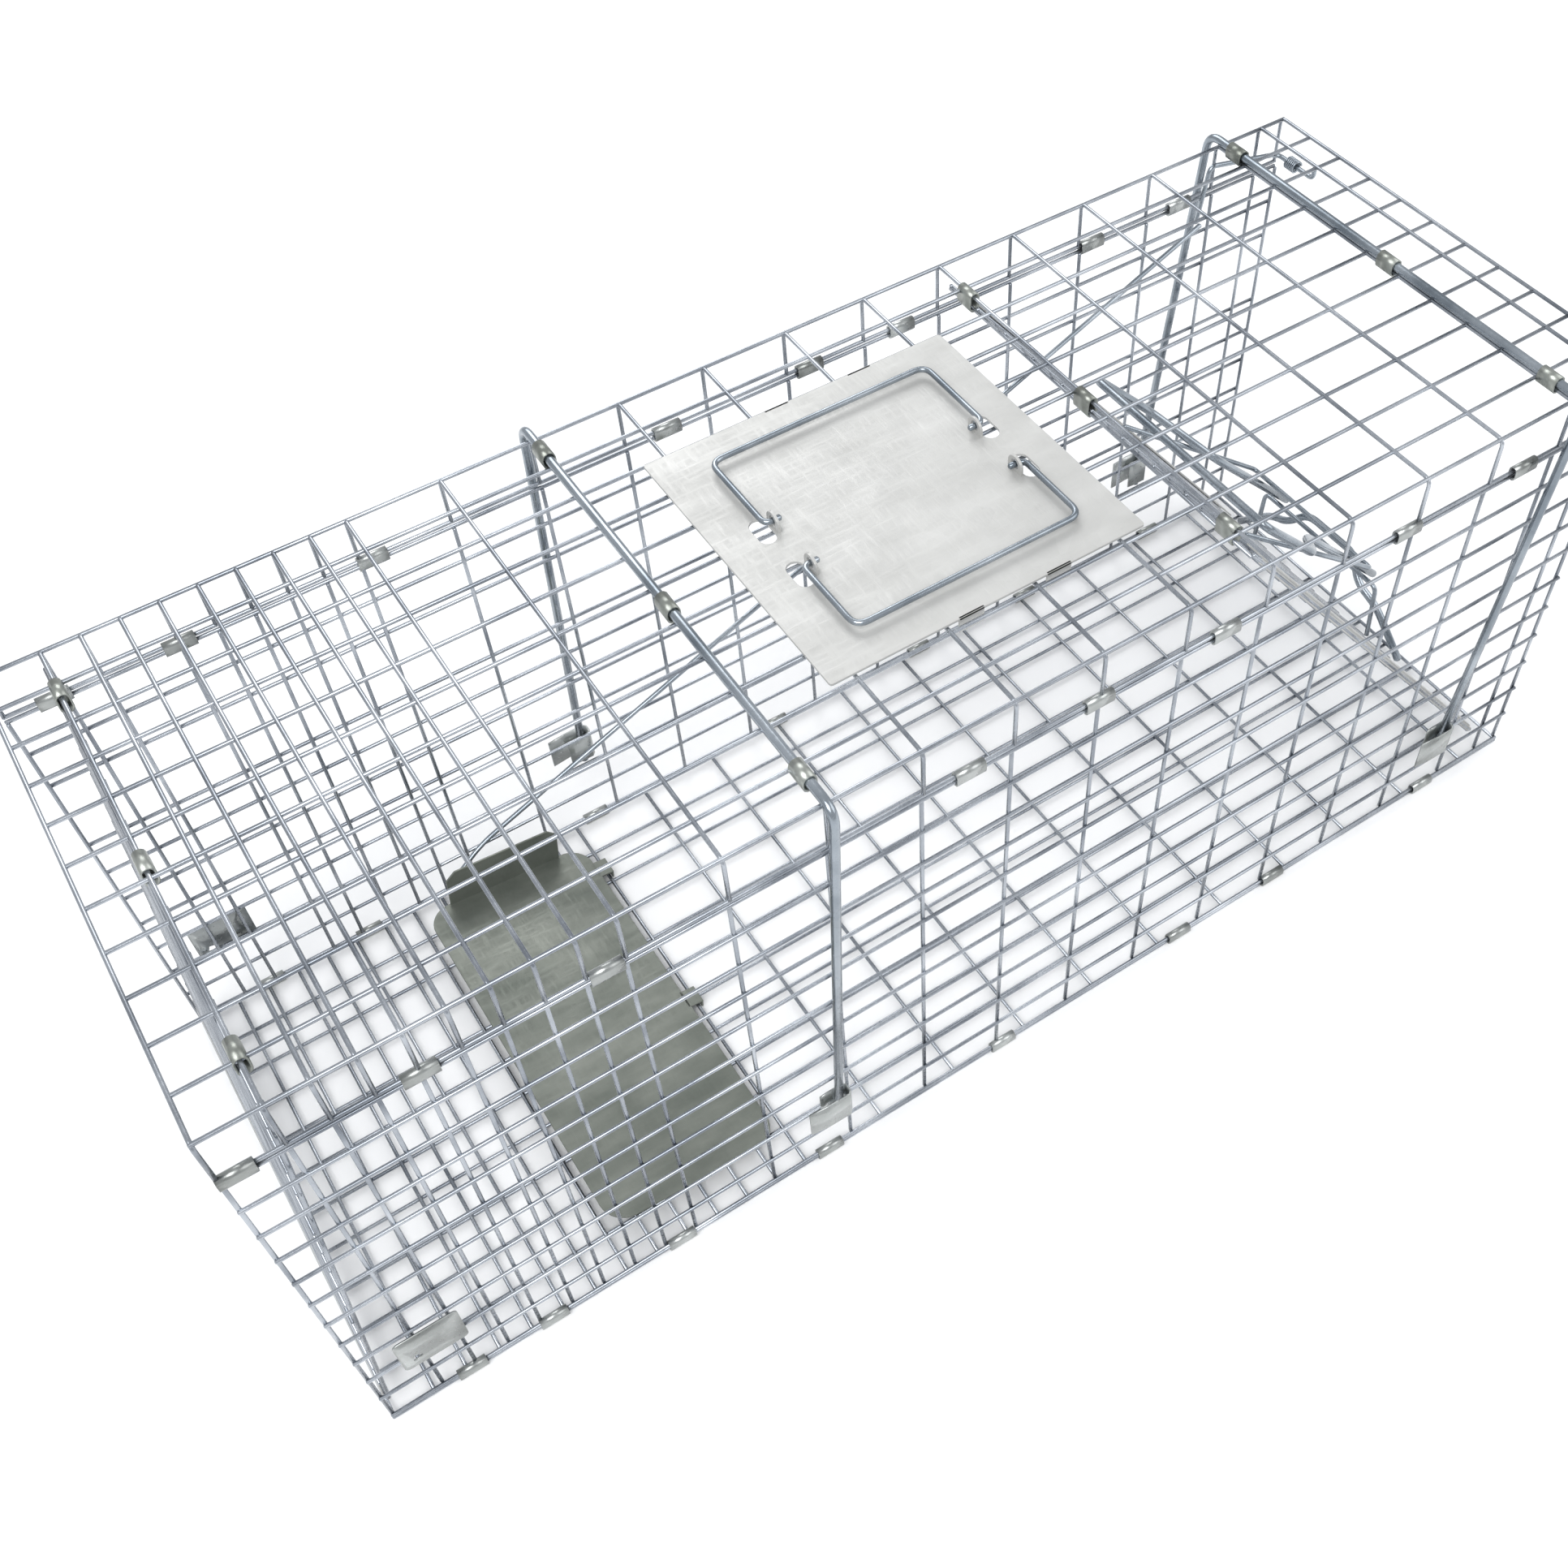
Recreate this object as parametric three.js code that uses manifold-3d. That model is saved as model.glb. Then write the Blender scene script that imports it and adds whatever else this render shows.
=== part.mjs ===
// Folding wire live-catch trap: a galvanised mesh box with a sloping gravity door at its front end,
// a lift-up bait door at its rear end, a treadle pan that trips the front door through a rod and a
// catch, two hoops that hold the folding panels square, and a carry plate with two wire bails.
// Millimetres, +Z up, +X towards the front door, origin under the middle of the floor.

import * as THREE from 'three';
import { mergeVertices } from 'three/addons/utils/BufferGeometryUtils.js';
import Module from 'manifold-3d';

const manifold = await Module();
manifold.setup();

// Driving dimensions.
const CELL = 25.4;
const CELLS_ACROSS = 11;
const HALF_WIDTH = (CELL * CELLS_ACROSS) / 2;
const HALF_LENGTH = 389;
const PITCH = 50;
const DENSE_PITCH = 37.4;
const WIRE = 2.2;
const SHEET = 0.8;
const SIDES = 6;

// Heights of the flat panels.
const FLOOR_Z = 1.2;
const SIDE_BOTTOM_Z = 5;
const SIDE_ROW = 24.9;
const SIDE_TOP_Z = SIDE_BOTTOM_Z + SIDE_ROW * CELLS_ACROSS;
const SKIRT_Z = SIDE_TOP_Z + 3.4;
const ROOF_Z = 311;
const ROOF_TOP = ROOF_Z + WIRE;

// Which of the twelve wires across a panel are kept: every second one, closed up in the middle.
const KEPT_ROWS = [0, 2, 4, 7, 9, 11];
const ACROSS = KEPT_ROWS.map((row) => row * CELL - HALF_WIDTH);
const SIDE_ROWS = KEPT_ROWS.map((row) => SIDE_BOTTOM_Z + row * SIDE_ROW);

// Stations of the crosswise wires along the length.
const DOOR_HINGE_X = 138.5;
const REAR_HINGE_X = -361;
const HOOP_X = { rear: DOOR_HINGE_X - 5 * PITCH, front: DOOR_HINGE_X + 4 * PITCH };
const FRONT_WIRES_X = [371.5, HALF_LENGTH];
const DENSE_END_X = DOOR_HINGE_X - 7 * PITCH;
const PANEL_X = [
  -HALF_LENGTH,
  REAR_HINGE_X,
  ...steps(DENSE_END_X - 3 * DENSE_PITCH, DENSE_PITCH, 4),
  ...steps(DENSE_END_X + PITCH, PITCH, 11),
  ...FRONT_WIRES_X,
];
const PAN_HINGE_X = -142;
const FLOOR_X = [
  -HALF_LENGTH,
  ...steps(PAN_HINGE_X - 6 * DENSE_PITCH, DENSE_PITCH, 6),
  ...steps(PAN_HINGE_X, PITCH, 11),
  HALF_LENGTH,
];

// Front door: a mesh panel that slopes from its roof hinge to the front of the floor.
const DOOR_SLOPE = THREE.MathUtils.degToRad(51.2);
const DOOR_HINGE_Z = 306;
const DOOR_LENGTH = 385;
const DOOR_HALF_WIDTH = 126;
const DOOR_STRIP_WIDTH = 13;

// Rear door: hangs from its roof hinge and leans out to the ends of the side panels.
const REAR_DOOR_LENGTH = 295;
const REAR_DOOR_HALF_WIDTH = 133;
const REAR_DOOR_LEAN = THREE.MathUtils.degToRad(5);

// Lock frame, its link and the bracket that it stands on.
const LOCK_RADIUS = 2.5;
const LOCK_TOP = { x: 360.5, z: 306.2, y: 74 };
const LOCK_ELBOW = { x: 357.3, z: 243, y: 73 };
const LOCK_WAIST = { x: 355.4, z: 201, y: 41 };
const LOCK_FOOT = { x: 350.8, z: 96.5, y: 41 };
const LINK_RADIUS = 1.5;
const LINK_PIVOT = { x: 359.8, z: 194 };
const LINK_HALF_WIDTH = 54;
const LINK_REACH = 112;
const LINK_RISE = 3.1;

// At rest the lock is folded flat over the door; raised by this angle it stands under the roof.
const LOCK_FOLD = THREE.MathUtils.degToRad(47.2);
const LINK_FOLD = LOCK_FOLD * 0.61;

// Hoops, carry plate and bails.
const HOOP_RADIUS = 2.5;
const HOOP_Z = ROOF_TOP + 0.4 + HOOP_RADIUS;
const HOOP_Y = 147;
const HOOP_FOOT_Z = 50;
const HOOP_LEAN = { rear: -11, front: -26 };
const PLATE = { x0: -75, x1: 103, halfWidth: 86.6, z: ROOF_TOP + 0.3, thickness: 1.5 };
const STOP_TAB = { x0: -372, x1: -338, z0: 47, z1: 78, holeRadius: 3, holeInset: 8 };
const BAIL_RADIUS = 1.6;
const BAIL_Z = PLATE.z + PLATE.thickness + 4.2;
const BAIL_X = { low: -48.5, high: 79 };
const BAIL_PIVOT_Y = { near: -21, far: 13 };
const BAIL_REACH_Y = { near: -67, far: 65 };

// Trip pan, rod and catch.
const PAN = { x0: -251.5, x1: -147, halfWidth: 120, z: 6.2, thickness: 1.2, corner: 16 };
const PAN_FLANGE_TOP = 36;
const PAN_TILT = THREE.MathUtils.degToRad(6);
const ROD_RADIUS = 1.5;
const ROD_REAR = { x: -229, y: 122.6, z: 31 };
const ROD_Y = 130;
const ROD_FRONT = { x: 325, z: 268 };
const CATCH_Y = 134.6;
const CATCH_PIVOT = { x: 331, z: 303 };
const CATCH_BAR = { x: 385.5, z: 291, tipY: 103 };

const zinc = material(0xb9c0c4, 0.38, 0.85);
const dullZinc = material(0x9aa3a5, 0.5, 0.8);
const sheetZinc = material(0xd6d9d8, 0.42, 0.7);
const panSteel = material(0x7f8580, 0.55, 0.65);
const brightSteel = material(0xaab4ba, 0.3, 0.9);

// ---------------------------------------------------------------------------------------------
// Small helpers.

function steps(first, step, count) {
  return Array.from({ length: count }, (_, index) => first + index * step);
}

function material(color, roughness, metalness) {
  return new THREE.MeshStandardMaterial({ color, roughness, metalness });
}

function addPiece(name, geometry, look) {
  const mesh = new THREE.Mesh(geometry, look);
  mesh.name = name;
  trap.add(mesh);
  return mesh;
}

function toSolid(geometry) {
  const plain = geometry.clone();
  plain.deleteAttribute('normal');
  plain.deleteAttribute('uv');
  const merged = mergeVertices(plain, 1e-4);
  return new manifold.Manifold(new manifold.Mesh({
    numProp: 3,
    vertProperties: new Float32Array(merged.attributes.position.array),
    triVerts: new Uint32Array(merged.index.array),
  }));
}

function fromSolid(solid) {
  const mesh = solid.getMesh();
  const geometry = new THREE.BufferGeometry();
  geometry.setAttribute('position', new THREE.BufferAttribute(new Float32Array(mesh.vertProperties), 3));
  geometry.setIndex(new THREE.BufferAttribute(new Uint32Array(mesh.triVerts), 1));
  return geometry;
}

function join(...geometries) {
  return fromSolid(geometries.map(toSolid).reduce((whole, next) => whole.add(next)));
}

function cut(body, ...tools) {
  return fromSolid(tools.map(toSolid).reduce((left, tool) => left.subtract(tool), toSolid(body)));
}

function block(x0, x1, y0, y1, z0, z1) {
  const geometry = new THREE.BoxGeometry(x1 - x0, y1 - y0, z1 - z0);
  return geometry.translate((x0 + x1) / 2, (y0 + y1) / 2, (z0 + z1) / 2);
}

function rectangle(x0, x1, y0, y1, Kind = THREE.Shape) {
  const outline = new Kind();
  outline.moveTo(x0, y0);
  outline.lineTo(x1, y0);
  outline.lineTo(x1, y1);
  outline.lineTo(x0, y1);
  outline.closePath();
  return outline;
}

// A slot with round ends that runs along Y, centred on a point.
function roundedSlot(x, y, radius, halfLength) {
  const outline = new THREE.Shape();
  outline.absarc(x, y + halfLength - radius, radius, 0, Math.PI);
  outline.absarc(x, y - halfLength + radius, radius, Math.PI, 2 * Math.PI);
  outline.closePath();
  return outline;
}

function slab(shape, thickness) {
  return new THREE.ExtrudeGeometry(shape, { depth: thickness, bevelEnabled: false, curveSegments: 4 });
}

// A welded mesh lying in the XY plane: square wires centred on the listed lines, one thickness.
// The area is cut into a grid of cells; every second row and column of cells is wire.
function weldedMesh(linesX, linesY) {
  const edgesX = linesX.flatMap((x) => [x - WIRE / 2, x + WIRE / 2]);
  const edgesY = linesY.flatMap((y) => [y - WIRE / 2, y + WIRE / 2]);
  const columns = edgesX.length - 1;
  const rows = edgesY.length - 1;
  const positions = [];
  for (const z of [0, WIRE]) {
    for (const y of edgesY) {
      for (const x of edgesX) positions.push(x, y, z);
    }
  }
  const isWire = (i, j) => (
    i >= 0 && j >= 0 && i < columns && j < rows && (i % 2 === 0 || j % 2 === 0)
  );
  const corner = (i, j, level) => (level * edgesY.length + j) * edgesX.length + i;
  const triangles = [];
  const addWall = (i0, j0, i1, j1) => {
    triangles.push(corner(i0, j0, 0), corner(i1, j1, 0), corner(i1, j1, 1));
    triangles.push(corner(i0, j0, 0), corner(i1, j1, 1), corner(i0, j0, 1));
  };
  for (let j = 0; j < rows; j += 1) {
    for (let i = 0; i < columns; i += 1) {
      if (!isWire(i, j)) continue;
      triangles.push(corner(i, j, 1), corner(i + 1, j, 1), corner(i + 1, j + 1, 1));
      triangles.push(corner(i, j, 1), corner(i + 1, j + 1, 1), corner(i, j + 1, 1));
      triangles.push(corner(i, j, 0), corner(i + 1, j + 1, 0), corner(i + 1, j, 0));
      triangles.push(corner(i, j, 0), corner(i, j + 1, 0), corner(i + 1, j + 1, 0));
      if (!isWire(i, j - 1)) addWall(i, j, i + 1, j);
      if (!isWire(i + 1, j)) addWall(i + 1, j, i + 1, j + 1);
      if (!isWire(i, j + 1)) addWall(i + 1, j + 1, i, j + 1);
      if (!isWire(i - 1, j)) addWall(i, j + 1, i, j);
    }
  }
  const geometry = new THREE.BufferGeometry();
  geometry.setAttribute('position', new THREE.BufferAttribute(new Float32Array(positions), 3));
  geometry.setIndex(triangles);
  return geometry;
}

// The same mesh standing in the XZ plane, centred on y.
function standingMesh(linesX, linesZ, y) {
  return weldedMesh(linesX, linesZ).rotateX(Math.PI / 2).translate(0, y + WIRE / 2, 0);
}

// A path through listed points, so that a swept wire gets its sections exactly there.
class WirePath extends THREE.Curve {
  constructor(points) {
    super();
    this.points = points;
  }

  getPoint(t) {
    return this.points[Math.round(t * (this.points.length - 1))].clone();
  }

  getPointAt(t) {
    return this.getPoint(t);
  }

  getTangentAt(t) {
    const last = this.points.length - 1;
    const index = Math.round(t * last);
    const here = this.points[index];
    const tangent = new THREE.Vector3();
    if (index > 0) tangent.add(here.clone().sub(this.points[index - 1]).normalize());
    if (index < last) tangent.add(this.points[index + 1].clone().sub(here).normalize());
    return tangent.normalize();
  }
}

// A round wire along straight runs with rounded bends.
function bentWire(points, radius, bend) {
  const corners = points.map((point) => new THREE.Vector3(...point));
  const stations = [corners[0]];
  for (let i = 1; i < corners.length - 1; i += 1) {
    const corner = corners[i];
    const before = corner.clone().sub(corners[i - 1]);
    const after = corners[i + 1].clone().sub(corner);
    const reach = Math.min(bend, before.length() / 2.2, after.length() / 2.2);
    const enter = corner.clone().addScaledVector(before.normalize(), -reach);
    const leave = corner.clone().addScaledVector(after.normalize(), reach);
    const arc = new THREE.QuadraticBezierCurve3(enter, corner, leave);
    stations.push(...arc.getPoints(3));
  }
  stations.push(corners.at(-1));
  const section = new THREE.Shape();
  for (let side = 0; side < SIDES; side += 1) {
    const angle = ((side + 0.5) * 2 * Math.PI) / SIDES;
    const point = [radius * Math.cos(angle), radius * Math.sin(angle)];
    if (side === 0) section.moveTo(...point);
    else section.lineTo(...point);
  }
  section.closePath();
  return new THREE.ExtrudeGeometry(section, {
    steps: stations.length - 1,
    extrudePath: new WirePath(stations),
  });
}

// A sheet band bent into a closed loop round two wires that run along the X axis.
function bandAlongX(x, y, z0, z1, halfInside, length) {
  const loop = rectangle(-halfInside - SHEET, halfInside + SHEET, z0 - SHEET, z1 + SHEET);
  loop.holes.push(rectangle(-halfInside, halfInside, z0, z1, THREE.Path));
  return slab(loop, length)
    .translate(0, 0, -length / 2)
    .rotateX(Math.PI / 2)
    .rotateZ(Math.PI / 2)
    .translate(x, y, 0);
}

// The same band round two wires that run along the Y axis.
function bandAlongY(x, y, z0, z1, halfInside, length) {
  const loop = rectangle(-halfInside - SHEET, halfInside + SHEET, z0 - SHEET, z1 + SHEET);
  loop.holes.push(rectangle(-halfInside, halfInside, z0, z1, THREE.Path));
  return slab(loop, length)
    .translate(0, 0, -length / 2)
    .rotateX(Math.PI / 2)
    .translate(x, y, 0);
}

// A point given along the closed front door from its hinge, out from its outer face, and across.
function onDoor(along, out, y) {
  const cos = Math.cos(DOOR_SLOPE);
  const sin = Math.sin(DOOR_SLOPE);
  return [
    DOOR_HINGE_X + along * cos + out * sin,
    y,
    DOOR_HINGE_Z - along * sin + out * cos,
  ];
}

// ---------------------------------------------------------------------------------------------
// The four folding panels.

function addPanels() {
  addPiece('floor_panel', weldedMesh(FLOOR_X, ACROSS).translate(0, 0, FLOOR_Z), zinc);
  addPiece('side_panel_near', standingMesh(PANEL_X, SIDE_ROWS, -HALF_WIDTH), zinc);
  addPiece('side_panel_far', standingMesh(PANEL_X, SIDE_ROWS, HALF_WIDTH), zinc);
  addPiece('roof_panel', weldedMesh(PANEL_X, ACROSS).translate(0, 0, ROOF_Z), zinc);
  addPiece('roof_skirt_near', roofSkirt(-HALF_WIDTH), zinc);
  addPiece('roof_skirt_far', roofSkirt(HALF_WIDTH), zinc);
}

// The turned-down edge of the roof, which ends on a hinge wire.
function roofSkirt(y) {
  return standingMesh(PANEL_X, [SKIRT_Z, ROOF_Z - 0.3 - WIRE / 2], y);
}

// Bands that hinge the panels to each other along the four long edges.
function addPanelClips() {
  const inside = 1.7;
  const length = 16;
  const topX = [-305, -36.5, 113.5, 313.5];
  const bottomX = [-345, -126.5, 123, 323];
  for (const [side, y] of [['near', -HALF_WIDTH], ['far', HALF_WIDTH]]) {
    topX.forEach((x, index) => {
      const clip = bandAlongX(x, y, SIDE_TOP_Z - 1.7, SKIRT_Z + 1.7, inside, length);
      addPiece(`hinge_clip_top_${side}_${index + 1}`, clip, brightSteel);
    });
    bottomX.forEach((x, index) => {
      const clip = bandAlongX(x, y, SHEET, SIDE_BOTTOM_Z + 1.7, inside, length);
      addPiece(`hinge_clip_bottom_${side}_${index + 1}`, clip, brightSteel);
    });
  }
}

// ---------------------------------------------------------------------------------------------
// Hoops that hold the folded-out box square, the bands they turn in and the clips for their legs.

function addHoops() {
  const bandY = [-122, -4, 122];
  for (const end of ['rear', 'front']) {
    const x = HOOP_X[end];
    const footX = x + HOOP_LEAN[end];
    const hoop = bentWire(
      [
        [footX, -HOOP_Y, HOOP_FOOT_Z],
        [x, -HOOP_Y, HOOP_Z],
        [x, HOOP_Y, HOOP_Z],
        [footX, HOOP_Y, HOOP_FOOT_Z],
      ],
      HOOP_RADIUS,
      7,
    );
    addPiece(`${end}_hoop`, hoop, brightSteel);
    bandY.forEach((y, index) => {
      const band = bandAlongY(x, y, ROOF_Z - 0.5, HOOP_Z + HOOP_RADIUS + 0.5, 3.1, 12);
      addPiece(`${end}_hoop_band_${index + 1}`, band, dullZinc);
    });
    for (const [side, sign] of [['near', -1], ['far', 1]]) {
      addPiece(`${end}_hoop_catch_${side}`, hoopCatch(footX + 1, sign), sheetZinc);
    }
  }
}

// A sheet strip folded to a C, open towards the rear, that the foot of a hoop leg snaps into.
function hoopCatch(legX, sign) {
  const strip = 1;
  const inner = HOOP_Y - HOOP_RADIUS - 0.7 - strip;
  const outer = HOOP_Y + HOOP_RADIUS + 1.6;
  const webX = legX + HOOP_RADIUS + 3;
  const tongueX = legX - 20;
  const shape = new THREE.Shape();
  shape.moveTo(webX + strip, inner);
  shape.lineTo(webX + strip, outer + strip);
  shape.lineTo(tongueX, outer + strip);
  shape.lineTo(tongueX, outer);
  shape.lineTo(webX, outer);
  shape.lineTo(webX, inner + strip);
  shape.lineTo(legX - 10, inner + strip);
  shape.lineTo(legX - 10, inner);
  shape.closePath();
  const geometry = slab(shape, 22).translate(0, 0, 54);
  return sign > 0 ? geometry : geometry.rotateX(Math.PI).translate(0, 0, 130);
}

// ---------------------------------------------------------------------------------------------
// Carry plate on the roof with two fold-down wire bails.

function addCarryPlate() {
  const z0 = PLATE.z;
  const z1 = PLATE.z + PLATE.thickness;
  const lugThickness = 1.5;
  const inset = 4;
  const lugs = [];
  const holes = [];
  for (const y of Object.values(BAIL_PIVOT_Y)) {
    for (const x of [BAIL_X.low + inset, BAIL_X.high - inset - lugThickness]) {
      lugs.push(block(x, x + lugThickness, y - 5.5, y + 5.5, z0 + 0.5, BAIL_Z + 5));
      holes.push(new THREE.CylinderGeometry(BAIL_RADIUS + 0.6, BAIL_RADIUS + 0.6, 8, 8)
        .rotateZ(Math.PI / 2)
        .translate(x + lugThickness / 2, y, BAIL_Z));
    }
    for (const x of [BAIL_X.low - 1.5, BAIL_X.high + 1.5]) {
      holes.push(slab(roundedSlot(x, y, 4.5, 9), 10).translate(0, 0, z0 - 5));
    }
  }
  const tabs = [];
  for (const x of [-5, 45]) {
    for (const y of [-PLATE.halfWidth, PLATE.halfWidth - 1.2]) {
      tabs.push(block(x, x + 14, y, y + 1.2, z0 - 8, z0 + 0.5));
    }
  }
  const sheet = block(PLATE.x0, PLATE.x1, -PLATE.halfWidth, PLATE.halfWidth, z0, z1);
  addPiece('carry_plate', cut(join(sheet, ...lugs, ...tabs), ...holes), sheetZinc);

  for (const side of ['near', 'far']) {
    const pivotY = BAIL_PIVOT_Y[side];
    const reachY = BAIL_REACH_Y[side];
    const bail = bentWire(
      [
        [BAIL_X.low + 9, pivotY, BAIL_Z],
        [BAIL_X.low, pivotY, BAIL_Z],
        [BAIL_X.low, reachY, BAIL_Z],
        [BAIL_X.high, reachY, BAIL_Z],
        [BAIL_X.high, pivotY, BAIL_Z],
        [BAIL_X.high - 9, pivotY, BAIL_Z],
      ],
      BAIL_RADIUS,
      7,
    );
    addPiece(`carry_bail_${side}`, bail, brightSteel);
  }
}

// ---------------------------------------------------------------------------------------------
// Sloping front door, its hinge bands, edge strips and lock bracket.

function addFrontDoor() {
  const alongLines = steps(0, DOOR_LENGTH / 10, 11);
  const acrossLines = steps(-DOOR_HALF_WIDTH, (2 * DOOR_HALF_WIDTH) / 5, 6);
  const mesh = weldedMesh(alongLines, acrossLines)
    .translate(0, 0, -WIRE / 2)
    .rotateY(DOOR_SLOPE)
    .translate(DOOR_HINGE_X, 0, DOOR_HINGE_Z);
  addPiece('front_door_mesh', mesh, zinc);

  [-107, 5.6, 110].forEach((y, index) => {
    const band = bandAlongY(DOOR_HINGE_X, y, DOOR_HINGE_Z - 3, ROOF_TOP + 0.5, 2.6, 12);
    addPiece(`front_door_band_${index + 1}`, band, dullZinc);
  });

  for (const [side, sign] of [['near', -1], ['far', 1]]) {
    const inner = sign * (DOOR_HALF_WIDTH - DOOR_STRIP_WIDTH);
    const outer = sign * DOOR_HALF_WIDTH;
    const strip = block(8, DOOR_LENGTH, Math.min(inner, outer), Math.max(inner, outer), 1.5, 2.5)
      .rotateY(DOOR_SLOPE)
      .translate(DOOR_HINGE_X, 0, DOOR_HINGE_Z);
    addPiece(`front_door_strip_${side}`, strip, sheetZinc);
  }

  const bracketHalf = [
    onDoor(334, 4.4, 78),
    onDoor(312, 20, 51),
    onDoor(303, 24, 33),
    onDoor(296, 36, 22),
  ];
  addPiece('lock_bracket', bentWire(mirrored(bracketHalf), LOCK_RADIUS, 6), brightSteel);

  const barHalf = [onDoor(322, 3.2, 55), onDoor(289, 28.6, 52)];
  addPiece('lock_bar', bentWire(mirrored(barHalf), LINK_RADIUS, 3), brightSteel);
}

// The given points, then their mirror images across the trap's middle plane in reverse order.
function mirrored(points) {
  return [...points, ...points.map(([x, y, z]) => [x, -y, z]).reverse()];
}

// Turns a piece about a pivot line that runs across the trap.
function turned(geometry, pivot, angle) {
  return geometry
    .translate(-pivot.x, 0, -pivot.z)
    .rotateY(angle)
    .translate(pivot.x, 0, pivot.z);
}

// Waisted lock frame between roof and door, and the thin link that ties it back to the door.
function addLock() {
  const half = [LOCK_FOOT, LOCK_WAIST, LOCK_ELBOW, LOCK_TOP].map(({ x, y, z }) => [x, y, z]);
  const raisedFrame = bentWire(mirrored(half), LOCK_RADIUS, 9);
  addPiece('lock_frame', turned(raisedFrame, LOCK_FOOT, -LOCK_FOLD), brightSteel);

  const linkHalf = [
    onDoor(LINK_REACH, LINK_RISE, LINK_HALF_WIDTH),
    [LINK_PIVOT.x, LINK_HALF_WIDTH, LINK_PIVOT.z],
  ];
  const raisedLink = bentWire(mirrored(linkHalf), LINK_RADIUS, 4);
  const [x, , z] = onDoor(LINK_REACH, LINK_RISE, 0);
  addPiece('lock_link', turned(raisedLink, { x, z }, LINK_FOLD), brightSteel);
}

// ---------------------------------------------------------------------------------------------
// Rear bait door, its hinge bands, foot strip and stop tabs.

function addRearDoor() {
  const turn = Math.PI / 2 + REAR_DOOR_LEAN;
  const alongLines = steps(0, REAR_DOOR_LENGTH / 8, 9);
  const acrossLines = steps(-REAR_DOOR_HALF_WIDTH, (2 * REAR_DOOR_HALF_WIDTH) / 5, 6);
  const mesh = weldedMesh(alongLines, acrossLines)
    .translate(0, 0, -WIRE / 2)
    .rotateY(turn)
    .translate(REAR_HINGE_X, 0, DOOR_HINGE_Z);
  addPiece('rear_door_mesh', mesh, zinc);

  const strip = block(
    REAR_DOOR_LENGTH - 16,
    REAR_DOOR_LENGTH + 1,
    -REAR_DOOR_HALF_WIDTH,
    REAR_DOOR_HALF_WIDTH,
    -2.5,
    -1.5,
  ).rotateY(turn).translate(REAR_HINGE_X, 0, DOOR_HINGE_Z);
  addPiece('rear_door_foot_strip', strip, sheetZinc);

  [-110, -4, 110].forEach((y, index) => {
    const band = bandAlongY(REAR_HINGE_X, y, DOOR_HINGE_Z - 3, ROOF_TOP + 0.5, 2.6, 12);
    addPiece(`rear_door_band_${index + 1}`, band, dullZinc);
  });

  for (const [side, sign] of [['near', -1], ['far', 1]]) {
    const y0 = sign > 0 ? HALF_WIDTH + 1.6 : -HALF_WIDTH - 2.6;
    const { x0, x1, z0, z1, holeRadius, holeInset } = STOP_TAB;
    const plate = block(x0, x1, y0, y0 + 1, z0, z1);
    const hole = new THREE.CylinderGeometry(holeRadius, holeRadius, 6, 10)
      .translate(x0 + holeInset, y0 + 0.5, z0 + holeInset);
    addPiece(`rear_door_tab_${side}`, cut(plate, hole), sheetZinc);
  }
}

// ---------------------------------------------------------------------------------------------
// Treadle pan, trigger rod and the sprung catch that holds the front door up.

function addTrigger() {
  addPiece('trip_pan', tripPan(), panSteel);

  const rod = bentWire(
    [
      [ROD_REAR.x, ROD_REAR.y, ROD_REAR.z],
      [ROD_REAR.x + 26, ROD_Y, ROD_REAR.z + 12],
      [ROD_FRONT.x, ROD_Y, ROD_FRONT.z],
    ],
    ROD_RADIUS,
    8,
  );
  addPiece('trigger_rod', rod, brightSteel);

  const catchWire = bentWire(
    [
      [CATCH_BAR.x, CATCH_BAR.tipY, CATCH_BAR.z + 8],
      [CATCH_BAR.x, CATCH_BAR.tipY, CATCH_BAR.z],
      [CATCH_BAR.x, CATCH_Y, CATCH_BAR.z],
      [CATCH_PIVOT.x, CATCH_Y, CATCH_PIVOT.z],
      [ROD_FRONT.x, CATCH_Y, ROD_FRONT.z - 2],
    ],
    ROD_RADIUS,
    4,
  );
  addPiece('trigger_catch', catchWire, brightSteel);

  const coil = new THREE.LatheGeometry(
    [[2.1, -4.5], [4.6, -4.5], [4.6, 4.5], [2.1, 4.5], [2.1, -4.5]].map(
      ([radius, height]) => new THREE.Vector2(radius, height),
    ),
    12,
  ).translate(CATCH_BAR.x, 121, CATCH_BAR.z);
  addPiece('catch_spring', coil, brightSteel);
}

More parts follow.
